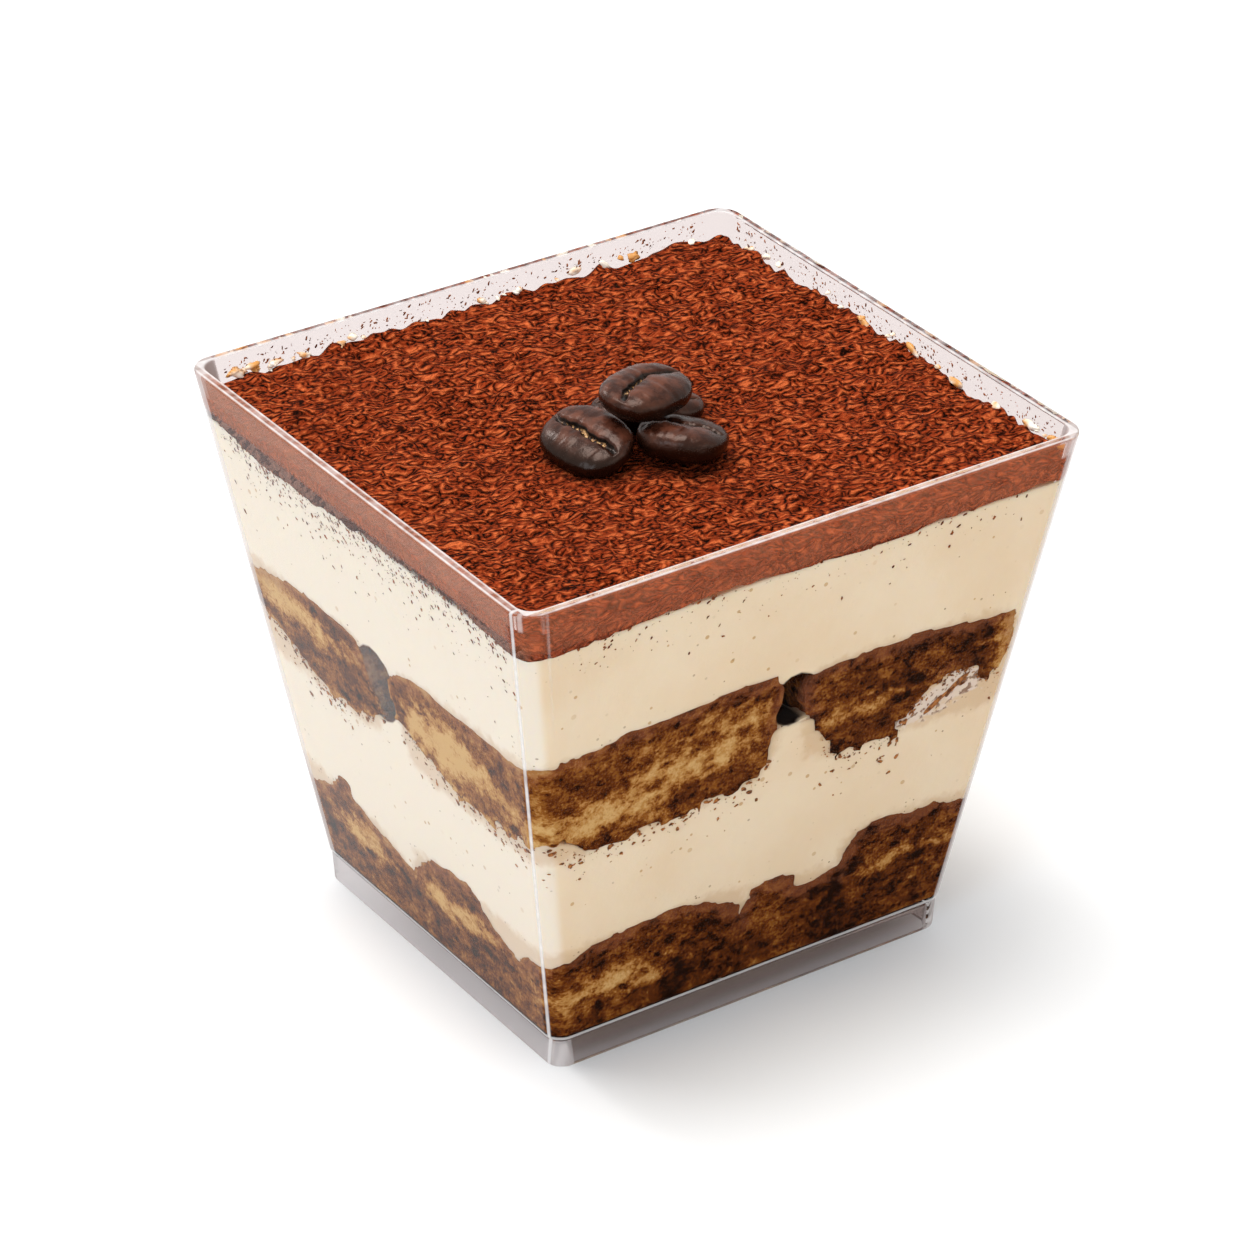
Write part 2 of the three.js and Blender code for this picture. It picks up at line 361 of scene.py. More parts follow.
faces = [
    (low * count + side, low * count + (side + 1) % count,
     (low + 1) * count + (side + 1) % count, (low + 1) * count + side)
    for low in range(len(profile) - 1) for side in range(count)
]
faces.append(range(count - 1, -1, -1))
faces.append(range((len(profile) - 1) * count, len(profile) * count))

# Places are told by how far they lie past the start of the rounded corners.
clear_plastic, sockets, place = finish_named("clear_plastic")
height = place.part("Z")
half_here, corner_here = wall_at(height)
straight = half_here - corner_here
across = straight + place.part("X")
along = straight - LESS_ALONG_Y[1] + place.part("Y")
back_turn = place.part("Y") - straight + LESS_ALONG_Y[1]
right_edge = (place.part("X") - straight) / corner_here
on_left = (0.2 - across).rise(0, 0.2)
on_front = (0.1 - along).rise(0, 0.1)
on_corner = (0.1 - across).rise(0, 0.1) * on_front
# Noise that breaks up both the dust films and the painted highlights.
dust_and_highlight_noise = place.noise(1.6, 3) - 0.5

# Painted highlights: the rim, the line where the floor meets the walls and the front edge are
# mixed, broken up by noise, with a pale matt shader that stands in for light the plastic catches
# there.
from_side = half_here - (abs(place.part("X")) | abs(place.part("Y")) + LESS_ALONG_Y[1])
rim_edges = abs(from_side - WALL / 2).rise(0.15, 0.35)
rim_highlight = height.rise(CUP_HEIGHT - 0.14, CUP_HEIGHT - 0.02)
rim_highlight = rim_highlight * (0.15 + 0.55 * rim_edges + 1.1 * dust_and_highlight_noise)
floor_highlight = 0.6 * (1 - abs(height - STEP_LEVEL - 0.35).rise(0.1, 0.3))
left_corner_highlight = on_corner * (1 - abs(along + 0.7).rise(0.1, 0.3)) * (0.75 + 0.8 * dust_and_highlight_noise)
right_corner_highlight = on_corner * (1 - abs(across + 0.1).rise(0.05, 0.3)) * height.rise(44, 60) * 0.18
painted_highlights = rim_highlight | floor_highlight | left_corner_highlight | right_corner_highlight

# The sieve left a film of dust high on the left wall, and a thinner one on the front wall.
left_film = on_left * along.rise(-0.2, 0.6) * (height - FILM_LEVEL).rise(0, 0.6)
left_film = left_film * (0.44 + 0.6 * dust_and_highlight_noise)
front_film = (0.2 - along).rise(0, 0.2) * (height - 57.3).rise(0, 0.7) * (0.17 + 0.3 * dust_and_highlight_noise)

# Painted light and shade on the skirt: pale grey on the left, paler towards the back, for light
# seen through it, and a painted shadow in front, darkest high up and towards the left, for the
# shaded table seen through it. Where a wall is seen edge-on, beside the back and right corners, a
# painted pale strip and a painted dark line stand in for how its thickness looks.
skirt = (STEP_LEVEL - height).rise(0, 0.2)
painted_skirt_light = skirt * on_left * (0.34 + 0.36 * place.part("Y").rise(0, 24))
painted_skirt_shade = skirt * on_front * (across - 0.1).rise(0, 0.1)
painted_skirt_shade = painted_skirt_shade * (0.08 + 0.5 * height.rise(0.4, 2.8))
painted_skirt_shade = painted_skirt_shade * (1 - 0.6 * place.part("X").rise(2, 24))
painted_edge_strips = (back_turn + 0.8).rise(0, 0.3) * on_left | right_edge.rise(0.1, 0.25) * on_front
painted_edge_lines = (back_turn / corner_here).rise(0.14, 0.24) * on_left | right_edge.rise(0.5, 0.6) * on_front

# Clear plastic mirrors a larger share of the room the flatter a wall is seen. Light that only
# brightens or shades the food goes straight through.
mirrored = (3.1 * place.add("Fresnel", {}, {"IOR": PLASTIC_BEND})) ** 4.1
inputs = {"Color": PLASTIC_TINT, "Roughness": 0, "IOR": PLASTIC_BEND}
bending = place.add("BsdfRefraction", {}, inputs)
mirroring = place.add("BsdfGlossy", {}, {"Color": (1, 1, 1, 1), "Roughness": 0.02})
cup_shader = mirrored.mixed(bending, mirroring)
# Matt layers: the dust films, then the painted light and shade on the skirt and edges.
for share, colour in (
    (left_film, (176, 120, 96)),
    (front_film, (210, 128, 92)),
    (painted_skirt_light | 0.5 * painted_edge_strips, (212, 205, 203)),
    (painted_skirt_shade | 0.4 * painted_edge_lines, (112, 98, 92)),
):
    matt = place.add("BsdfDiffuse", {}, {"Color": linear(*colour)})
    cup_shader = share.mixed(cup_shader, matt)
# Painted highlights: the material's own shader, pale and matt, is mixed in along those lines.
brush(sockets, Base_Color=(0.70, 0.665, 0.65, 1), Roughness=0.5, Specular_IOR_Level=0.3)
painted_highlight_shader = Paint(sockets["Base Color"].node.outputs[0])
cup_shader = painted_highlights.mixed(cup_shader, painted_highlight_shader)
shadow_ray = place.add("LightPath", {}, {}, "Is Shadow Ray")
soft_ray = Paint(shadow_ray.socket.node.outputs["Is Diffuse Ray"])
open_way = place.add("BsdfTransparent", {}, {"Color": (0.95, 0.95, 0.95, 1)})
cup_shader = (shadow_ray | soft_ray).mixed(cup_shader, open_way)
surface = clear_plastic.node_tree.nodes["Material Output"].inputs["Surface"]
clear_plastic.node_tree.links.new(cup_shader.socket, surface)
clear_cup = make_piece("clear_cup", rings, faces, clear_plastic, ["cup"])
flatter_normals(clear_cup.data)


# ---- Sponge fingers ----
# Chunks of sponge soaked in coffee, four round the middle of the cup in each layer and a scrap
# between two of the lower ones. The walls press them flat, and their crumb shows there.

INTO_WALL = 0.2
GAP = 0.3
SPONGE_CELL = 0.24
PRESSED_DEPTH = 6.0
lattice = np.random.default_rng(11).uniform(-1, 1, (32, 32, 32))


def lumps(points, size, shift=0.0):
    """Smooth random heights from -1 to 1 at points, with bumps of this size."""
    spot = points / size + 7.3 * shift
    cell = np.floor(spot).astype(int)
    part = spot - cell
    part = part * part * (3 - 2 * part)
    total = 0.0
    for corner in np.ndindex(2, 2, 2):
        near = (cell + corner) & 31
        weight = np.prod(np.where(corner, part, 1 - part), axis=-1)
        total = total + weight * lattice[near[..., 0], near[..., 1], near[..., 2]]
    return total


def beyond_wall(points, inset):
    """Distance past a skin this far inside the cup's outer wall, negative inside it."""
    full, corner = wall_at(points[..., 2])
    corner = corner - inset
    over = np.abs(points[..., :2]) + LESS_ALONG_Y - (full - inset - corner)[..., None]
    outside = np.linalg.norm(np.maximum(over, 0), axis=-1)
    return outside + np.minimum(over.max(axis=-1), 0) - corner


def below_floor(points, inset):
    return FLOOR_LEVEL - inset - points[..., 2]


class Solid:
    """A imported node's distance field in millimetres. Where a wall or the floor cuts the node
    flat, the field goes on past it, so that it tells how deep a place is in the food."""

    STEP = 0.5
    REACH = 7.0
    PAST_WALL = 5.0

    def __init__(self, name):
        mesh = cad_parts[name].data
        mesh.calc_loop_triangles()
        points = np.array([vertex.co for vertex in mesh.vertices]) * METRE
        full, corner = wall_at(points[:, 2:3])
        over = np.abs(points[:, :2]) + LESS_ALONG_Y - (full - corner)
        over = np.maximum(over, 0) * np.sign(points[:, :2])
        away = over / np.maximum(np.linalg.norm(over, axis=1, keepdims=True), 1e-9)
        at_wall = beyond_wall(points, WALL + GAP) > -GAP / 2
        points[:, :2] += away * at_wall[:, None] * self.PAST_WALL
        points[points[:, 2] < FLOOR_LEVEL + 2 * GAP, 2] -= self.PAST_WALL
        triangles = np.array([t.vertices for t in mesh.loop_triangles], np.uint32)
        grid = vdb.FloatGrid.createLevelSetFromPolygons(
            points.astype(np.float32), triangles=triangles, halfWidth=self.REACH / self.STEP,
            transform=vdb.createLinearTransform(voxelSize=self.STEP),
        )
        self.low = points.min(axis=0)
        self.high = points.max(axis=0)
        first = np.floor((self.low - self.REACH) / self.STEP).astype(int)
        last = np.ceil((self.high + self.REACH) / self.STEP).astype(int)
        self.values = np.zeros(last - first + 1, np.float32)
        grid.copyToArray(self.values, ijk=tuple(int(i) for i in first))
        self.first = first

    def at(self, points):
        """Distance from the surface at points, negative inside, as far as REACH either way."""
        spot = np.clip(points / self.STEP - self.first, 0, np.array(self.values.shape) - 1.001)
        cell = spot.astype(int)
        part = spot - cell
        total = 0.0
        for corner in np.ndindex(2, 2, 2):
            near = cell + corner
            weight = np.prod(np.where(corner, part, 1 - part), axis=-1)
            total = total + weight * self.values[near[..., 0], near[..., 1], near[..., 2]]
        return total


# The outline that a finger shows where it is pressed on the front wall, as (x, z), or on the
# left one, as (y, z). PAST is round the corner or below the floor, where nothing shows.
PAST = 40
pressed_front = {
    "finger_upper_front": [
        (-PAST, 41.8), (-31, 42.1), (-24, 42.6), (-20.5, 43.4), (-14, 43.3), (-9.5, 44),
        (-1.2, 43.9), (-0.4, 41.5), (-1.2, 37.4), (-1.4, 32.7), (-3.6, 31), (-6.3, 29.4),
        (-9, 30.4), (-12.1, 29), (-17, 29.8), (-20, 28.8), (-24.5, 29), (-26.5, 30.4),
        (-29.6, 31.6), (-PAST, 32.5),
    ],
    "finger_upper_right": [
        (1.8, 42.6), (7.5, 43.2), (14, 42.7), (16, 43.4), (22, 42.4), (28.9, 41.7), (29.3, 38.5),
        (28.4, 34.9), (26.6, 33.4), (25.2, 35.6), (21, 36), (17.6, 34), (15.7, 31.8), (15.1, 29.7),
        (11.3, 30.5), (7.6, 30), (5.2, 33.2), (2.5, 37.2), (1.9, 39.6),
    ],
    "finger_lower_front": [
        (-PAST, 14.2), (-26.5, 15), (-20, 16), (-13.2, 17), (-9, 16.6), (-6.7, 15.8), (-2.7, 13.6),
        (-1.9, 11.4), (-1.8, -PAST), (-PAST, -PAST),
    ],
    "finger_lower_scrap": [
        (-2.8, 11), (-1.7, 15.4), (0.5, 16), (4, 15.1), (4.4, 13), (7.3, 13.4), (10.6, 15),
        (12, 14), (12, -PAST), (-3, -PAST),
    ],
    "finger_lower_right": [
        (10, 14.4), (11.5, 17.9), (14, 18.9), (19, 18), (22, 18.3), (26.4, 17.2), (PAST, 16.8),
        (PAST, -PAST), (10, -PAST),
    ],
}
pressed_left = {
    "finger_upper_front": [
        (-0.1, 38.6), (-2.1, 40.4), (-8, 41.6), (-17, 41.5), (-25.5, 41.3), (-PAST, 41),
        (-PAST, 31), (-25.7, 31.6), (-20, 30.2), (-14, 29.6), (-9, 31), (-4, 32.4), (-0.8, 34),
    ],
    "finger_upper_left": [
        (PAST, 39.3), (27.2, 39.8), (19, 41.4), (11, 41.7), (5.5, 41.2), (4.7, 38.5), (3.9, 36.1),
        (2, 32.3), (6, 31), (11, 29.8), (16, 29.9), (21, 32), (26, 34.8), (PAST, 36),
    ],
    "finger_lower_left": [
        (PAST, 13), (21.4, 13.6), (17.4, 16), (15.8, 18.8), (14.6, 18.3), (13.9, 15.5), (10, 14.2),
        (6.9, 13.3), (4.4, 12.6), (2, 12), (1, 9), (1, -PAST), (PAST, -PAST),
    ],
    "finger_lower_front": [
        (3, 9.3), (2.6, 12.2), (1, 13.8), (-1.9, 16.3), (-6.9, 16.8), (-9.9, 17.7), (-11.6, 16.1),
        (-13.6, 14.1), (-18.2, 11.9), (-20.6, 13.7), (-PAST, 12.5), (-PAST, -PAST), (2.6, -PAST),
    ],
}


def outline_distance(along, up, corners):
    """Distance from an outline's edge at places on a wall, negative inside it."""
    places = np.stack(np.broadcast_arrays(along, up), axis=-1)
    nearest = np.full(places.shape[:-1], np.inf)
    inside = np.zeros(places.shape[:-1], bool)
    starts = np.array(corners, float)
    for start, stop in zip(starts, np.roll(starts, -1, axis=0)):
        way = stop - start
        share = np.clip((places - start) @ way / (way @ way), 0, 1)
        gap = np.linalg.norm(places - start - share[..., None] * way, axis=-1)
        nearest = np.minimum(nearest, gap)
        crossed = (start[1] > places[..., 1]) != (stop[1] > places[..., 1])
        where = start[0] + (places[..., 1] - start[1]) * way[0] / (way[1] or 1)
        inside ^= crossed & (places[..., 0] < where)
    return np.where(inside, -nearest, nearest)


def finger_field(name, axes):
    """A finger's distance field on a grid: at a wall its pressed outline, and inside the cup
    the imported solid's form."""
    points = np.stack(np.meshgrid(*axes, indexing="ij"), axis=-1)
    half = wall_at(points[..., 2])[0] - WALL
    body = fingers[name].at(points)
    weight = np.full(body.shape, 1e-3)
    total = weight * body
    nearest = np.full(body.shape, PRESSED_DEPTH)
    across, along, up = axes
    for outlines, run, facing in ((pressed_front, across, 1), (pressed_left, along, 0)):
        if name in outlines:
            depth = half - LESS_ALONG_Y[facing] + points[..., facing]
            depth = np.clip(depth, 0, PRESSED_DEPTH)
            shown = outline_distance(run[:, None], up[None, :], outlines[name])
            share = (1 - depth / PRESSED_DEPTH) ** 2
            total = total + share * np.expand_dims(shown, facing)
            weight = weight + share
            nearest = np.minimum(nearest, depth)
    inner = (nearest / PRESSED_DEPTH) ** 2
    return points, (total + inner * body) / (weight + inner)


def ticks(low, high, fine, coarse, fine_from):
    """Grid places from low to high, close together where they are over fine_from from 0."""
    places = [low]
    while places[-1] < high:
        inside = fine_from - abs(places[-1])
        places.append(places[-1] + min(coarse, fine + max(inside, 0) * 0.2))
    return np.array(places)


def skin_of(field, axes):
    """The closed skin where a field on a grid is 0, as points and four-sided faces."""
    grid = vdb.FloatGrid(1.0)
    grid.copyFromArray(np.ascontiguousarray(field, np.float32))
    points, quads = grid.convertToQuads(0.0)
    points = np.column_stack([
        np.interp(points[:, k], np.arange(len(axis)), axis) for k, axis in enumerate(axes)
    ])
    # Each point takes the lowest number in its skin, so that the largest skin can be kept.
    label = np.arange(len(points))
    while True:
        lowest = label[quads].min(axis=1)
        new = label.copy()
        for k in range(4):
            np.minimum.at(new, quads[:, k], lowest)
        new = new[new]
        if (new == label).all():
            break
        label = new
    main = np.bincount(label).argmax()
    quads = quads[label[quads[:, 0]] == main]
    used, quads = np.unique(quads, return_inverse=True)
    points = points[used]
    quads = quads.reshape(-1, 4)
    first, second, third, fourth = (points[quads[:, k]] for k in range(4))
    volume = (np.cross(third - first, fourth - second) * first).sum()
    return points, quads if volume > 0 else quads[:, ::-1]


def keep_values(piece, **values):
    """Stores one number for each point of a mesh, for its material to read."""
    for name, numbers in values.items():
        stored = piece.data.attributes.new(name, "FLOAT", "POINT")
        stored.data.foreach_set("value", numbers.astype(np.float32))


def nearest_spot(points, spots):
    """Distance from the nearest of some ellipsoids, (middle, reach) each, negative inside."""
    nearest = np.full(points.shape[:-1], 99.0)
    for middle, reach in spots:
        share = np.linalg.norm((points - middle) / reach, axis=-1)
        nearest = np.minimum(nearest, (share - 1) * min(reach))
    return nearest


fingers = {name: Solid(name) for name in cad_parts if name.startswith("finger")}
finger_names = list(fingers)


def finger_skin(name):
    """A finger's skin: uneven above, torn into crumbs and threads below."""
    solid = fingers[name]
    shift = finger_names.index(name)
    margin = 1.2
    widest = wall_at(solid.high[2])[0]
    low = np.maximum(solid.low - margin, (-widest, -widest, FLOOR_LEVEL - margin))
    high = np.minimum(solid.high + margin, (widest, widest, CUP_HEIGHT))
    fine_from = wall_at(low[2])[0] - 5
    axes = [ticks(low[way], high[way], SPONGE_CELL, 0.8, fine_from) for way in (0, 1)]
    axes.append(np.arange(low[2], high[2], SPONGE_CELL))
    points, body = finger_field(name, axes)
    middle = (max(solid.low[2], FLOOR_LEVEL) + solid.high[2]) / 2
    torn = np.clip((middle - points[..., 2]) / 3, 0, 1)
    rough = 0.3 * lumps(points, 2.6, shift) + 0.2 * lumps(points, 1.1, shift + 1)
    rough += (0.3 + 0.7 * torn) * lumps(points * (1, 1, 0.7), 0.7, shift + 2)
    rough += 0.7 * torn * lumps(points, 1.5, shift + 3)
    pores = np.clip(lumps(points, 1.5, shift + 4) + 0.6 * lumps(points, 0.7, shift + 5) - 0.3, 0, 1)
    wall = beyond_wall(points, WALL - INTO_WALL - 0.1) + 0.16 * pores
    field = np.maximum(body + rough, wall)
    return skin_of(np.maximum(field, below_floor(points, INTO_WALL)), axes)


# Cores that the coffee hardly reached: middle, and reach each way.
dry_cores = [
    ((-21.5, -27, 33.4), (7.5, 5, 2.4)),
    ((-12.5, -27, 36.2), (7, 5, 2.0)),
    ((-5, -28, 40), (5.5, 5, 1.8)),
    ((29.5, -28.5, 38.5), (3, 4, 4.5)),
    ((-30, 17.5, 37.6), (5, 9, 1.7)),
    ((-30, 24, 38.8), (3, 3, 1.2)),
    ((-29.5, -11.5, 35.6), (5, 8.5, 2.6)),
    ((-19, -23, 9.6), (4, 4, 1)),
    ((-12.5, -23, 8.3), (3.6, 4, 0.9)),
    ((18.5, -24, 12.6), (4.4, 4, 0.9)),
    ((22, -23, 9.5), (2.6, 4, 0.8)),
    ((-25.5, -7, 11.5), (4, 6, 1.8)),
    ((-25.5, 14, 11), (4, 6, 1.8)),
    ((11.5, -28, 35.5), (4, 5, 0.8)),
]

# How much paler each upper finger is. The others are all a little darker.
bared = {"finger_upper_front": 0.05, "finger_upper_right": 0.0, "finger_upper_left": -0.05}
BARED_BELOW = -0.02


def shown_depth(name, points):
    """How far in from its outline on the nearer wall a finger's point lies."""
    depth = np.full(len(points), PRESSED_DEPTH)
    to_left, to_front = (points[:, :2] + wall_at(points[:, 2:])[0] - WALL - LESS_ALONG_Y).T
    at_wall = np.minimum(to_left, to_front) < 1
    for outlines, along, near in (
        (pressed_front, points[:, 0], to_front < to_left),
        (pressed_left, points[:, 1], to_left <= to_front),
    ):
        if name in outlines:
            shown = -outline_distance(along, points[:, 2], outlines[name])
            depth = np.where(near & at_wall, shown, depth)
    return depth


wet_sponge, sockets, place = finish_named("wet_sponge")
upper = place.stored("upper")
on_left = place.stored("on_left")
edge = place.stored("edge")
streaked = place.scaled(0.85, 0.85, 1.1)
clouds = streaked.noise(6.0, 4, 0, 0.6) - 0.5
crumb = streaked.noise(1.6, 5, 5, 0.62) - 0.5
grain = place.noise(0.32, 3, 11) - 0.5
shaded_holes = place.scaled(0.8, 0.8, 1).noise(0.9, 3, 21).rise(0.58, 0.64)
core = (place.stored("dry") + 4 * clouds + 3 * crumb).rise(-1, 1.6)
pale = 0.27 + crumb + 0.9 * clouds + 0.75 * grain + 0.5 * core
# Painted light and shade: fingers on the left wall are painted paler, most near their edges, as
# that wall gets more light, and pits and holes are painted darker for the shade in them.
pale = pale + place.stored("bared") + 0.16 * on_left - place.stored("pit") * 0.3
pale = pale + 0.25 * on_left * (0.9 - edge + 2 * crumb).rise(0, 0.9)
pale = pale - (0.7 - place.stored("joint") + 2 * crumb).rise(0, 0.8) * 0.12
pale = pale - shaded_holes * 0.18 + place.specks(0.6, 0.1, 3) * 0.3
tint = linear(32, 10, 1)
for low, high, colour in (
    (0, 0.3, (96, 45, 9)),
    (0.25, 0.5, (146, 88, 32)),
    (0.46, 0.72, (190, 140, 76)),
    (0.7, 1, (214, 174, 112)),
):
    tint = pale.rise(low, high).blend(tint, linear(*colour))
crust = (1.9 - edge + 6 * crumb).rise(0, 1.4) * (upper + 0.6 * clouds).rise(0.4, 0.7)
tint = (crust * 0.45).blend(tint, linear(146, 88, 58))
bumps = (crumb + 0.5 * grain).bumps(0.4, 0.6)
brush(
    sockets, Base_Color=tint, Roughness=0.65 + 0.3 * crumb, Normal=bumps, Specular_IOR_Level=0.06,
    Subsurface_Weight=0.1, Subsurface_Radius=(1.0, 0.45, 0.2), Subsurface_Scale=0.001,
)
for name, solid in fingers.items():
    points, quads = finger_skin(name)
    finger = make_piece("soaked_" + name, points, quads, wet_sponge, [name])
    shift = finger_names.index(name)
    pores = lumps(points, 1.5, shift + 4) + 0.6 * lumps(points, 0.7, shift + 5)
    bottom = max(solid.low[2], FLOOR_LEVEL)
    others = [other.at(points) for key, other in fingers.items() if key != name]
    keep_values(
        finger, pit=np.clip(pores - 0.3, 0, 1), dry=-nearest_spot(points, dry_cores),
        upper=(points[:, 2] - bottom) / (solid.high[2] - bottom), joint=np.min(others, axis=0),
        edge=shown_depth(name, points), bared=np.full(len(points), bared.get(name, BARED_BELOW)),
        on_left=np.clip(3 - points[:, 0] - wall_at(points[:, 2])[0], 0, 1),
    )


# ---- Cream ----
# Mascarpone cream spooned in over each layer of sponge. It presses against the walls, closes
# round the fingers, and leaves a hollow where it bridges two of them; the cream there is painted
# dark for its shade.

CREAM_CELL = 0.42
SEAM_LEVEL = 36.5
TOP_LEVEL = 56
CREAM_SWELL = 0.5
OVER_FINGER = 0.6
CLOSING_DEPTH = 2
hollows = [
    ((0.8, -27.0, 40.0), (2.7, 7.0, 3.2)),
    ((-28.5, 2.2, 37.0), (7.0, 3.5, 4.5)),
]
# Where coffee has thinned the cream under the right-hand finger, it is pale and streaked.
thinned = [
    ((17.8, -27.2, 32.6), (4.6, 3, 2)),
    ((22.8, -27.4, 34.2), (4, 3, 2)),
]


def cream_skin(name, layer_bottom, layer_top):
    """A cream layer's skin: it swells past its solid's gaps and closes up to the fingers."""
    solid = Solid(name)
    bottom = max(solid.low[2], FLOOR_LEVEL) - 1
    fine_from = wall_at(bottom)[0] - 3
    level = ticks(-TOP_HALF, TOP_HALF, CREAM_CELL, 1.3, fine_from)
    axes = [level, level, np.arange(bottom, solid.high[2] + 1.6, CREAM_CELL)]
    points = np.stack(np.meshgrid(*axes, indexing="ij"), axis=-1)
    rough = 0.12 * lumps(points, 4.0, layer_top) + 0.06 * lumps(points, 1.3, layer_top + 1)
    near = np.min([finger_field(finger, axes)[1] for finger in fingers], axis=0)
    body = solid.at(points) - CREAM_SWELL + rough
    layer = np.abs(points[..., 2] - (layer_bottom + layer_top) / 2) - (layer_top - layer_bottom) / 2
    closing = np.maximum(-near - OVER_FINGER, -beyond_wall(points, WALL) - CLOSING_DEPTH)
    body = np.minimum(body, np.maximum(closing, layer))
    body = np.maximum(body, -nearest_spot(points, hollows) + 0.5 * rough)
    wall = beyond_wall(points, WALL - INTO_WALL)
    field = np.maximum(np.maximum(body, wall), below_floor(points, INTO_WALL))
    return skin_of(field, axes)


whipped = linear(246, 229, 199)
mascarpone, sockets, place = finish_named("mascarpone")
near = place.stored("near")
thin = place.stored("thin")
height = place.part("Z")
cloud = place.noise(11, 3)
fine = place.noise(1.4, 4, 4)
tint = cloud.rise(0.3, 0.75).blend(whipped, linear(241, 220, 186))
# Painted light: the cream on the left wall is painted whiter, as that wall gets more light.
on_left = (2.5 - wall_at(height)[0] - place.part("X")).rise(0, 0.8)
tint = (on_left * 0.9).blend(tint, linear(250, 240, 222))
seep = ((0.9 - near) + 2.6 * (fine - 0.5)).rise(0.0, 1.5)
tint = (seep * 0.4).blend(tint, linear(200, 160, 112))
streaks = place.scaled(0.5, 0.5, 1).noise(0.8, 4, 6)
pale = (thin + 4 * (streaks - 0.5)).rise(-0.2, 0.6)
tint = (pale * 0.55).blend(tint, linear(240, 230, 222))
tint = (pale * place.noise(0.9, 3, 8).rise(0.54, 0.6) * 0.8).blend(tint, linear(128, 88, 58))
dusty = (height - 52).rise(0, 6) * (0.35 + 0.65 * (place.part("X") + 20).rise(0, -6))
close = (2.4 - near).rise(0, 2.2)
some = place.noise(5, 2, 17).rise(0.4, 0.62)
dark_specks = place.specks(0.8, 0.07) | place.specks(0.5, 0.3, 9) * (close | dusty) * some
tint = (dark_specks * 0.9).blend(tint, linear(112, 66, 24))
tint = (place.specks(1.2, 0.16, 31) * 0.6).blend(tint, linear(190, 142, 66))
# Painted shade: the cream at the hollows is painted dark, less dark on the left wall.
painted_hollow_shade = on_left.blend(linear(26, 11, 6), linear(84, 36, 20))
tint = (0.35 - place.stored("hollow")).rise(0, 0.3).blend(tint, painted_hollow_shade)
bumps = (fine - 0.6 * dark_specks).bumps(0.3, 0.25)
brush(
    sockets, Base_Color=tint, Roughness=0.42 + 0.2 * fine, Normal=bumps, Specular_IOR_Level=0.08,
    Subsurface_Weight=0.35, Subsurface_Radius=(1.0, 0.75, 0.45), Subsurface_Scale=0.0016,
)
cream_layers = {
    "cream_lower": (FLOOR_LEVEL - 1, SEAM_LEVEL),
    "cream_upper": (SEAM_LEVEL, TOP_LEVEL),
}
for name, layer in cream_layers.items():
    points, quads = cream_skin(name, *layer)
    cream = make_piece("spooned_" + name, points, quads, mascarpone, [name])
    keep_values(
        cream, near=np.min([solid.at(points) for solid in fingers.values()], axis=0),
        hollow=nearest_spot(points, hollows), thin=-nearest_spot(points, thinned),
    )


# ---- Cocoa ----
# A deep dusting of cocoa, sieved on. It has clotted into short wavy ridges, with painted shade in
# the gaps between them and painted highlights on their crests, and where it meets the walls its
# lower edge is ragged.

COCOA_LEVEL = 59.9
COCOA_DEPTH = 2.7
COCOA_CELLS = 294
SWELL_SPACING = 8.0
SWELL_HEIGHT = 0.13
RIDGE_SPACING = 1.7
RIDGE_HEIGHT = 0.15
RIDGE_STRETCH = 2.2
SPACING_SPREAD = 0.24
CLIMB_HEIGHT = 0.6
THREAD_SPACING = 0.66
THREAD_STRETCH = 1.7
GRAIN_ANGLE = -26
CORNER_ROUNDS = 12
SIDE_LEVELS = 10
COCOA_IN_WALL = INTO_WALL + 0.06
cocoa_half = wall_at(COCOA_LEVEL)[0] - WALL + COCOA_IN_WALL
cocoa_halves = cocoa_half - LESS_ALONG_Y
chance = np.random.default_rng(5)

# The powder's lower edge along the front wall, as (x, z), and along the left one, as (y, z).
front_hem = [
    (-30.5, 56.5), (-26, 56.7), (-20.3, 57.4), (-8, 57.8), (1, 57.1), (11, 57.1), (28, 57.7),
]
left_hem = [(-30, 56.4), (-20, 57.8), (-8.4, 57.7), (11.6, 56.4), (20, 56.2), (27.3, 57.3)]


def ripples(cells, width, spacing, angle, stretch):
    """A sheet of wavy random ridges, drawn out in one direction, from about -2 to 2."""
    pace = np.fft.fftfreq(cells, width / cells)
    across, up = np.meshgrid(pace, pace, indexing="ij")
    first = (across * cos(angle) + up * sin(angle)) * stretch
    second = up * cos(angle) - across * sin(angle)
    reach = np.hypot(first, second) * spacing
    ring = np.exp(-(((reach - 1) / SPACING_SPREAD) ** 2))
    sheet = np.fft.ifft2(np.fft.fft2(chance.normal(size=(cells, cells))) * ring).real
    return sheet / sheet.std()


def hem_level(points):
    """Height of the powder's lower edge at places on the walls."""
    front = np.interp(points[:, 0], *np.transpose(front_hem))
    left = np.interp(points[:, 1], *np.transpose(left_hem))
    to_left, to_front = (points[:, :2] + cocoa_halves).T
    level = np.where(to_front < to_left, front, left)
    level = np.where(np.minimum(to_left, to_front) > 2, COCOA_LEVEL - COCOA_DEPTH, level)
    flat = points * (1, 1, 0)
    ragged = 0.2 * lumps(flat, 2.2, 1) + 0.26 * lumps(flat, 0.8, 2) + 0.24 * lumps(flat, 0.45, 3)
    return level + ragged * np.clip(np.abs(to_left - to_front) / 3, 0, 1)


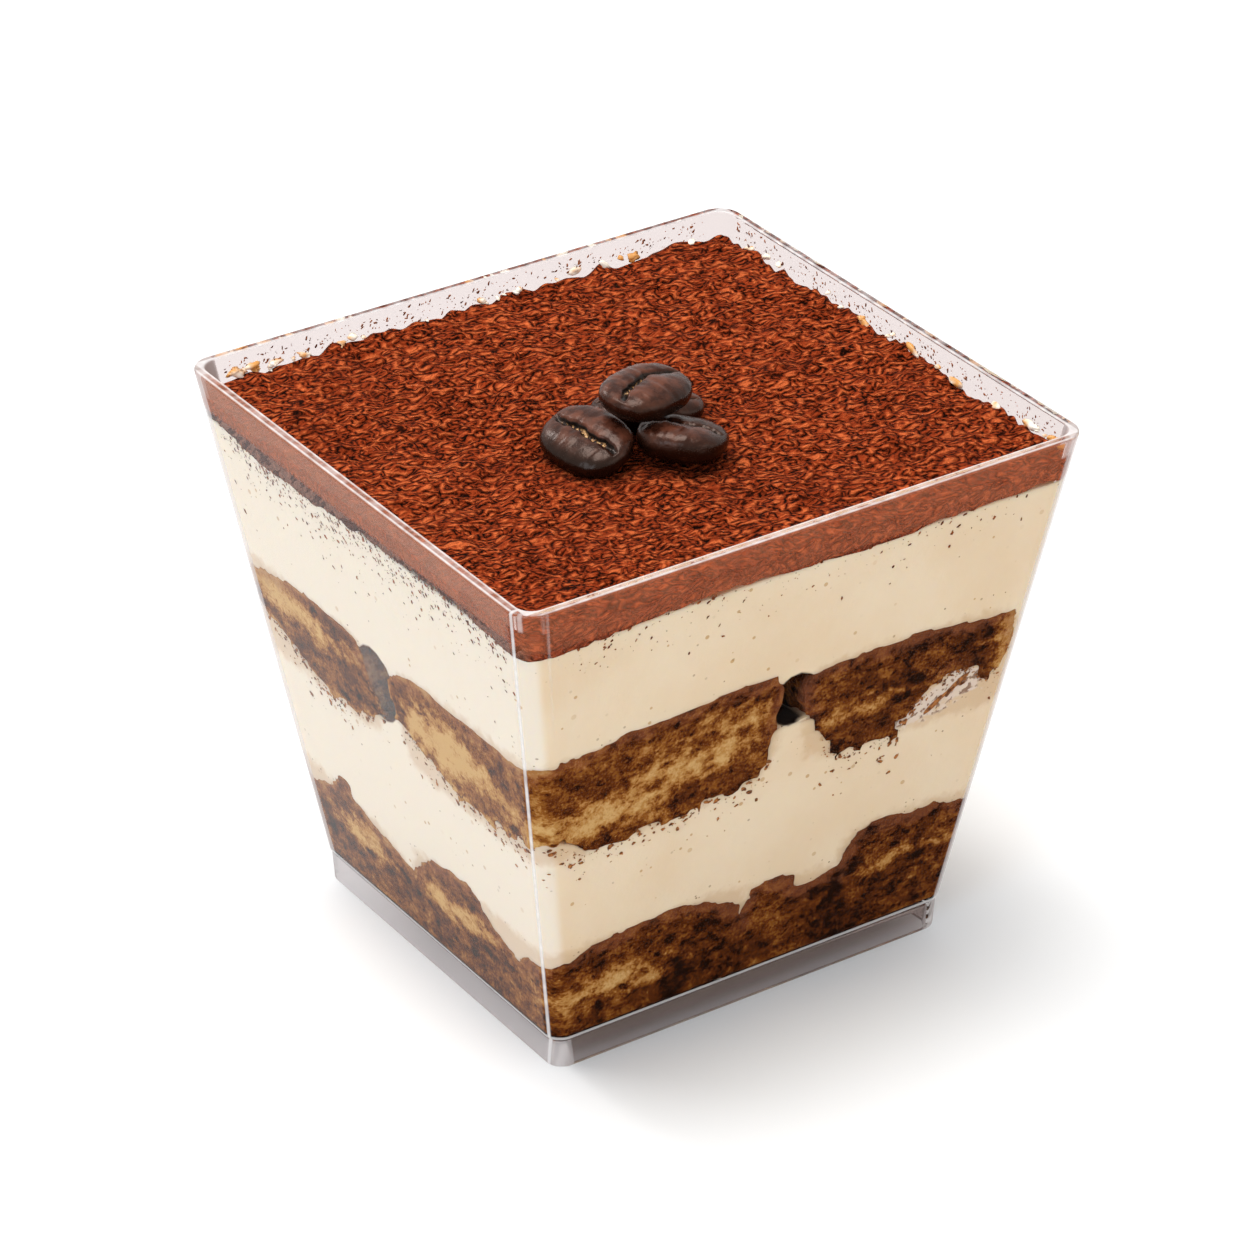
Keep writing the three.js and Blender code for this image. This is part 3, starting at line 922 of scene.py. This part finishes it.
cells = COCOA_CELLS + 1
side = np.linspace(-1, 1, cells)
across, along = np.meshgrid(side, side, indexing="ij")
edge_share = np.maximum(np.abs(across), np.abs(along))
corner = wall_at(COCOA_LEVEL)[1] - WALL + INTO_WALL
flat = np.stack([across, along], axis=-1) * cocoa_halves
# The square sheet is drawn in at its corners until it fits the cup's rounded ones.
for turn in range(CORNER_ROUNDS):
    over = np.maximum(np.abs(flat) - (cocoa_halves - corner), 0)
    excess = np.maximum(np.linalg.norm(over, axis=-1) - corner, 0)
    flat *= (1 - excess / cocoa_half * edge_share ** 30 * 0.6)[..., None]
grain_way = radians(GRAIN_ANGLE)
swell = ripples(cells, 2 * cocoa_half, SWELL_SPACING, grain_way, 1.0)
relief = RIDGE_HEIGHT * ripples(cells, 2 * cocoa_half, RIDGE_SPACING, grain_way, RIDGE_STRETCH)
top = COCOA_LEVEL - 0.05 + relief + SWELL_HEIGHT * swell
to_wall = (1 - edge_share) * cocoa_half
climb = np.exp(-to_wall / 0.8) * lumps(np.dstack([flat, top]), 2.4, 3) * CLIMB_HEIGHT
sheet = np.dstack([flat, top + climb]).reshape(-1, 3)
index = np.arange(cells * cells).reshape(cells, cells)
faces = np.stack([index[:-1, :-1], index[1:, :-1], index[1:, 1:], index[:-1, 1:]], axis=-1)
rim = np.concatenate([index[:-1, 0], index[-1, :-1], index[:0:-1, -1], index[0, :0:-1]])
edge_points = sheet[rim]
hem = hem_level(edge_points)
levels = [edge_points]
for step in range(1, SIDE_LEVELS + 1):
    share = step / SIDE_LEVELS
    ring_points = edge_points.copy()
    ring_points[:, 2] = edge_points[:, 2] * (1 - share) + hem * share
    shrink = wall_at(ring_points[:, 2:])[0] - WALL + COCOA_IN_WALL
    ring_points[:, :2] *= (shrink - LESS_ALONG_Y) / cocoa_halves
    levels.append(ring_points)
points = np.concatenate([sheet] + levels[1:])
ring_size = len(rim)
side_rings = len(sheet) + np.arange(ring_size * SIDE_LEVELS).reshape(SIDE_LEVELS, ring_size)
side_rings = [rim, *side_rings]
side_faces = [
    np.stack([np.roll(upper, -1), upper, lower, np.roll(lower, -1)], axis=-1)
    for upper, lower in zip(side_rings, side_rings[1:])
]
all_faces = [tuple(face) for face in np.concatenate([faces.reshape(-1, 4)] + side_faces)]
all_faces.append(tuple(side_rings[-1][::-1]))

cocoa_powder, sockets, place = finish_named("cocoa_powder")
at_side = place.stored("at_side")
wavy = place.turned(-GRAIN_ANGLE).scaled(1 / THREAD_STRETCH, 1, 1)
wavy = wavy.shifted(place.noise(1.5, 1, 13) * 0.9)
threads = 4 * abs(wavy.noise(THREAD_SPACING, 0) - 0.5)
fine_threads = 4 * abs(wavy.noise(THREAD_SPACING * 0.6, 0, 7) - 0.5)
raised = 0.7 * threads + 0.3 * fine_threads
powder = place.noise(0.3, 3)
patch = place.noise(6, 2, 3)
# Painted light and shade: near black between the threads, a painted highlight on their crests.
lit = raised + 0.5 * (powder - 0.5)
tint = lit.rise(0.06, 0.46).blend(linear(18, 4, 1), linear(148, 55, 22))
tint = (lit.rise(0.45, 0.9) * 0.8).blend(tint, linear(220, 108, 57))
tint = (patch.rise(0.4, 0.7) * 0.2).blend(tint, linear(116, 42, 20))
tint = (at_side * 0.35).blend(tint, linear(190, 106, 76))
# Painted shadow: the powder round and under the beans is painted dark.
tint = ((1.6 - place.stored("under_bean")).rise(0, 1.6) * 0.6).blend(tint, linear(34, 10, 4))
# Under the left wall's film the powder hangs in slanting dark strands.
on_left = (-31.5 - place.part("X")).rise(0, 1) * (place.part("Y") + 31).rise(0, 1)
low_left = at_side * on_left * (FILM_LEVEL + 0.2 - place.part("Z")).rise(0, 0.5)
inputs = {"Vector": place, "Angle": radians(-50)}
slanted = place.add("VectorRotate", {"rotation_type": "X_AXIS"}, inputs)
strands = slanted.scaled(1, 1, 0.25).noise(0.8, 2).rise(0.48, 0.57)
tint = (low_left * 0.85).blend(tint, strands.blend(linear(158, 112, 92), linear(76, 32, 16)))
bumps = (raised + 0.4 * powder).bumps(0.8, 1)
brush(sockets, Base_Color=tint, Roughness=0.9, Specular_IOR_Level=0.05, Normal=bumps)
cocoa = make_piece("sieved_cocoa", points, all_faces, cocoa_powder, ["cocoa"])
bean_places = []
for name in ("bean_left", "bean_right", "bean_back"):
    low, high = (np.array(end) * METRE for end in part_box(name))
    bean_places.append(((low + high) / 2, (high - low) / 2))
at_wall = np.clip(1 - to_wall.ravel() / 0.3, 0, 1)
keep_values(
    cocoa, at_side=np.concatenate([at_wall, np.ones(ring_size * SIDE_LEVELS)]),
    under_bean=nearest_spot(points, bean_places),
)


# ---- Coffee beans ----
# Four roasted beans piled in the middle: a domed back, a flatter face, and a crack along it
# that holds shreds of golden skin. Roasting has wrinkled them from the crack outwards.

BEAN_ROUND = 140
BEAN_LONG = 110
FACE_RISE = 0.72
BEAN_FULLNESS = 2.4
# As in the solids. crack is how far off its middle line the crack runs, gape how wide it is, and
# shade how much sooner the painted shade darkens the bean towards its underside.
beans = {
    "bean_left": dict(
        at=(-8.6, -4.5, 62.0), size=(10.6, 8.1, 4.7),
        turn=-81, pitch=4, roll=19, crack=0.0, gape=0.045, shade=0.0,
    ),
    "bean_right": dict(
        at=(-0.2, -9.6, 62.2), size=(9.5, 8.8, 4.9),
        turn=-51, pitch=2, roll=-13, crack=0.0, gape=0.034, shade=0.12,
    ),
    "bean_back": dict(
        at=(1.0, -1.3, 61.6), size=(12.0, 5.8, 4.4),
        turn=-30, pitch=0, roll=0, crack=0.0, gape=0.04, shade=0.0,
    ),
    "bean_top": dict(
        at=(-2.0, -5.5, 66.3), size=(10.4, 8.2, 4.4),
        turn=18, pitch=2, roll=4, crack=0.1, gape=0.045, shade=0.0,
    ),
}


def bean_skin(size, crack, gape, shift):
    """A bean with its length along X and its crack above, and how far each point is in the
    crack."""
    length, width, thickness = size
    round_turn = np.linspace(0, 2 * pi, BEAN_ROUND, endpoint=False)
    long_turn = np.linspace(0, pi, BEAN_LONG)[1:-1]
    around, pole = np.meshgrid(round_turn, long_turn, indexing="ij")
    ways = np.stack([np.cos(pole), np.cos(around) * np.sin(pole), np.sin(around) * np.sin(pole)])
    fullness = (np.abs(ways) ** BEAN_FULLNESS).sum(axis=0) ** (1 / BEAN_FULLNESS)
    along, across, up = ways / 2 / fullness
    face = np.clip(up * 4, 0, 1)
    bent = across - crack * np.cos(along * 5.0) + 0.016 * np.sin(along * 16 + shift)
    bent = bent + 0.008 * np.sin(along * 47 + 2 * shift)
    open_part = np.clip(1 - (along / 0.46) ** 4, 0, 1)
    trough = np.exp(-((bent / gape) ** 4)) * face * open_part
    lips = np.exp(-((bent / (0.1 + gape)) ** 2)) * face * open_part
    shape = np.where(up > 0, FACE_RISE, 1.0) * up * thickness
    depth = 0.3 * lips + (0.35 + 8 * gape) * trough
    points = np.stack([along * length, across * width, shape - depth], axis=-1)
    wrinkle = lumps(points * (2.6, 0.55, 0.7), 1.3, shift) * 0.09 * face
    wrinkle += lumps(points * (0.5, 1.4, 1.0), 1.6, shift + 2) * 0.06
    wrinkle += lumps(points, 3.0, shift + 1) * 0.1
    outward = points / np.linalg.norm(points, axis=-1)[..., None]
    points = points + outward * wrinkle[..., None]
    ends = np.array([[length / 2, 0, 0], [-length / 2, 0, 0]])
    flat_points = np.concatenate([points.reshape(-1, 3), ends])
    rows = BEAN_LONG - 2
    index = np.arange(BEAN_ROUND * rows).reshape(BEAN_ROUND, rows)
    after = np.roll(index, -1, axis=0)
    quads = np.stack([index[:, :-1], after[:, :-1], after[:, 1:], index[:, 1:]], axis=-1)
    first_end = BEAN_ROUND * rows
    caps = [(int(b), int(a), first_end) for a, b in zip(index[:, 0], after[:, 0])]
    caps += [(int(a), int(b), first_end + 1) for a, b in zip(index[:, -1], after[:, -1])]
    in_crack = np.concatenate([trough.ravel(), [0, 0]])
    return flat_points, [tuple(q) for q in quads.reshape(-1, 4)] + caps, in_crack


roasted, sockets, place = finish_named("roasted_bean")
crack = place.stored("crack")
streak = place.noise(1.6, 4)
fleck = place.noise(0.35, 3, 5)
tint = (streak + 0.2 * (fleck - 0.5)).rise(0.35, 0.7).blend(linear(50, 21, 12), linear(98, 54, 38))
# Painted shade: each bean is painted darker towards its underside.
tint = place.stored("lit").rise(-0.1, 0.42).blend(linear(22, 9, 4), tint)
shred = place.noise(0.45, 3, 8)
chaff = crack.rise(0.6, 0.95) * shred.rise(0.48, 0.56)
tint = chaff.blend(tint, shred.rise(0.5, 0.66).blend(linear(150, 94, 44), linear(220, 182, 130)))
# Painted shade: the bottom of the crack, away from the skin shreds, is painted near black.
tint = (crack.rise(0.12, 0.4) * (1 - chaff)).blend(tint, linear(10, 5, 3))
bumps = (streak + 0.3 * fleck + chaff * 1.5).bumps(0.3, 0.3)
brush(
    sockets, Base_Color=tint, Roughness=0.18 + 0.2 * streak, Normal=bumps,
    Specular_IOR_Level=0.32, Specular_Tint=(1, 0.74, 0.62, 1),
)
for shift, (name, bean) in enumerate(beans.items()):
    points, faces, in_crack = bean_skin(bean["size"], bean["crack"], bean["gape"], shift)
    turned = Matrix.Rotation(radians(bean["turn"]), 3, "Z")
    turned = turned @ Matrix.Rotation(radians(bean["pitch"]), 3, "Y")
    turned = np.array(turned @ Matrix.Rotation(radians(bean["roll"]), 3, "X"))
    points = points @ turned.T + bean["at"]
    piece = make_piece("roasted_" + name, points, faces, roasted, [name])
    raised = (points[:, 2] - bean["at"][2]) / bean["size"][2]
    keep_values(piece, crack=in_crack, lit=raised - bean["shade"])


# ---- Crumbs ----
# Loose bits that show at the walls: sponge crumbs that tore off under the fingers, specks of
# cocoa that fell on the cream and stuck to the bare walls above, and dabs of cream there.

ball = bmesh.new()
bmesh.ops.create_icosphere(ball, subdivisions=2, radius=1)
ball_points = np.array([vertex.co for vertex in ball.verts])
ball_faces = np.array([[vertex.index for vertex in face.verts] for face in ball.faces])
ball.free()
# Each wall: the axis that it faces along, which way, and the axis that runs along it.
FRONT, LEFT, BACK, RIGHT = (1, -1, 0), (0, -1, 1), (1, 1, 0), (0, 1, 1)


def bits_on(wall, along, up, long, wide, thick, lean, inset):
    """Flat uneven bits on a wall: their places, sizes and leans are lists of equal length."""
    facing, sign, run = wall
    points = []
    for number in range(len(along)):
        shape = ball_points * (long[number], wide[number], thick)
        shape = shape * (1 + 0.7 * lumps(ball_points, 0.7, along[number])[:, None])
        turned = shape @ np.array(Matrix.Rotation(lean[number], 3, "Z")).T
        bit = np.zeros_like(shape)
        bit[:, run] = along[number] + turned[:, 0]
        bit[:, 2] = up[number] + turned[:, 1]
        half = wall_at(bit[:, 2])[0] - LESS_ALONG_Y[facing] - WALL
        bit[:, facing] = sign * (half - inset + turned[:, 2])
        points.append(bit)
    return points


def make_bits(name, bits, material):
    faces = np.concatenate([ball_faces + len(ball_points) * number for number in range(len(bits))])
    return make_piece(name, np.concatenate(bits), faces, material)


def under_fingers(pressed, number):
    """Places along and up a wall, just under the fingers' lower edges there."""
    along, up = [], []
    for corners in pressed.values():
        lower = np.array([c for c in corners if abs(c[0]) < 30 and 0 < c[1] < 37])
        if lower[:, 1].min() < 20:
            continue
        lower = lower[np.argsort(lower[:, 0])]
        spots = chance.uniform(lower[0, 0], lower[-1, 0], number)
        along.append(spots)
        up.append(np.interp(spots, *lower.T) - chance.exponential(1.1, number) + 0.2)
    return np.concatenate(along), np.concatenate(up)


def sized(number, low, high):
    """Random sizes, with more small ones than large."""
    return low + (high - low) * chance.random(number) ** 3


bits = []
for wall, pressed in ((FRONT, pressed_front), (LEFT, pressed_left)):
    along, up = under_fingers(pressed, 190)
    number = len(along)
    long = sized(number, 0.04, 0.4)
    wide = long * chance.uniform(0.4, 0.9, number)
    lean = chance.normal(0, 0.7, number)
    bits += bits_on(wall, along, up, long, wide, 0.2, lean, -INTO_WALL + 0.05)
torn_crumb, sockets, place = finish_named("torn_crumb")
tint = place.noise(0.5, 3).rise(0.35, 0.65).blend(linear(100, 52, 14), linear(186, 118, 54))
brush(sockets, Base_Color=tint, Roughness=0.6)
scrap = [np.array(values) for values in ([20.2, 22.6, 21.8], [32.7, 34.3, 33.4], [1.5, 1.4, 0.9])]
bits += bits_on(FRONT, *scrap, 0.3 * scrap[2], 0.2, np.array([0.6, 0.5, 0.8]), -INTO_WALL + 0.04)
make_bits("torn_crumbs", bits, torn_crumb)

bits = []
for wall, hem, number in ((FRONT, front_hem, 170), (LEFT, left_hem, 900)):
    along = chance.uniform(-28, 28, number)
    up = np.interp(along, *np.transpose(hem)) + 0.2 - chance.exponential(1.9, number)
    long = sized(number, 0.05, 0.3)
    wide = long * chance.uniform(0.4, 0.8, number)
    lean = chance.normal(0.9, 0.5, number)
    bits += bits_on(wall, along, up, long, wide, 0.16, lean, -INTO_WALL + 0.06)
for wall, half, number in ((BACK, 31, 330), (RIGHT, 29, 300)):
    along = chance.uniform(-half, half, number)
    up = COCOA_LEVEL + 0.3 + chance.uniform(0, CUP_HEIGHT - COCOA_LEVEL - 0.8, number)
    long = sized(number, 0.06, 0.24)
    wide = long * chance.uniform(0.3, 0.6, number)
    lean = chance.normal(0.6, 0.5, number)
    bits += bits_on(wall, along, up, long, wide, 0.05, lean, 0.03)
cocoa_speck, sockets, place = finish_named("cocoa_speck")
tint = place.noise(0.8, 3).rise(0.35, 0.65).blend(linear(78, 32, 10), linear(158, 88, 44))
brush(sockets, Base_Color=tint, Roughness=0.8, Specular_IOR_Level=0.2)
make_bits("cocoa_specks", bits, cocoa_speck)

bits = []
for wall, half, number in ((BACK, 31, 34), (RIGHT, 29, 26)):
    along = np.append(chance.uniform(-half, half, number - 9), chance.uniform(-31, -25, 9))
    up = COCOA_LEVEL + chance.normal(0.4, 0.2, number)
    long = sized(number, 0.25, 1.1)
    wide = np.minimum(long * 0.6, 0.36)
    bits += bits_on(wall, along, up, long, wide, 0.4, chance.normal(0, 0.3, number), 0.1)
cream_dab, sockets, place = finish_named("cream_dab")
tint = place.noise(2.5, 3).rise(0.4, 0.6).blend(linear(250, 240, 222), linear(216, 150, 76))
brush(sockets, Base_Color=tint, Roughness=0.35)
make_bits("cream_dabs", bits, cream_dab)
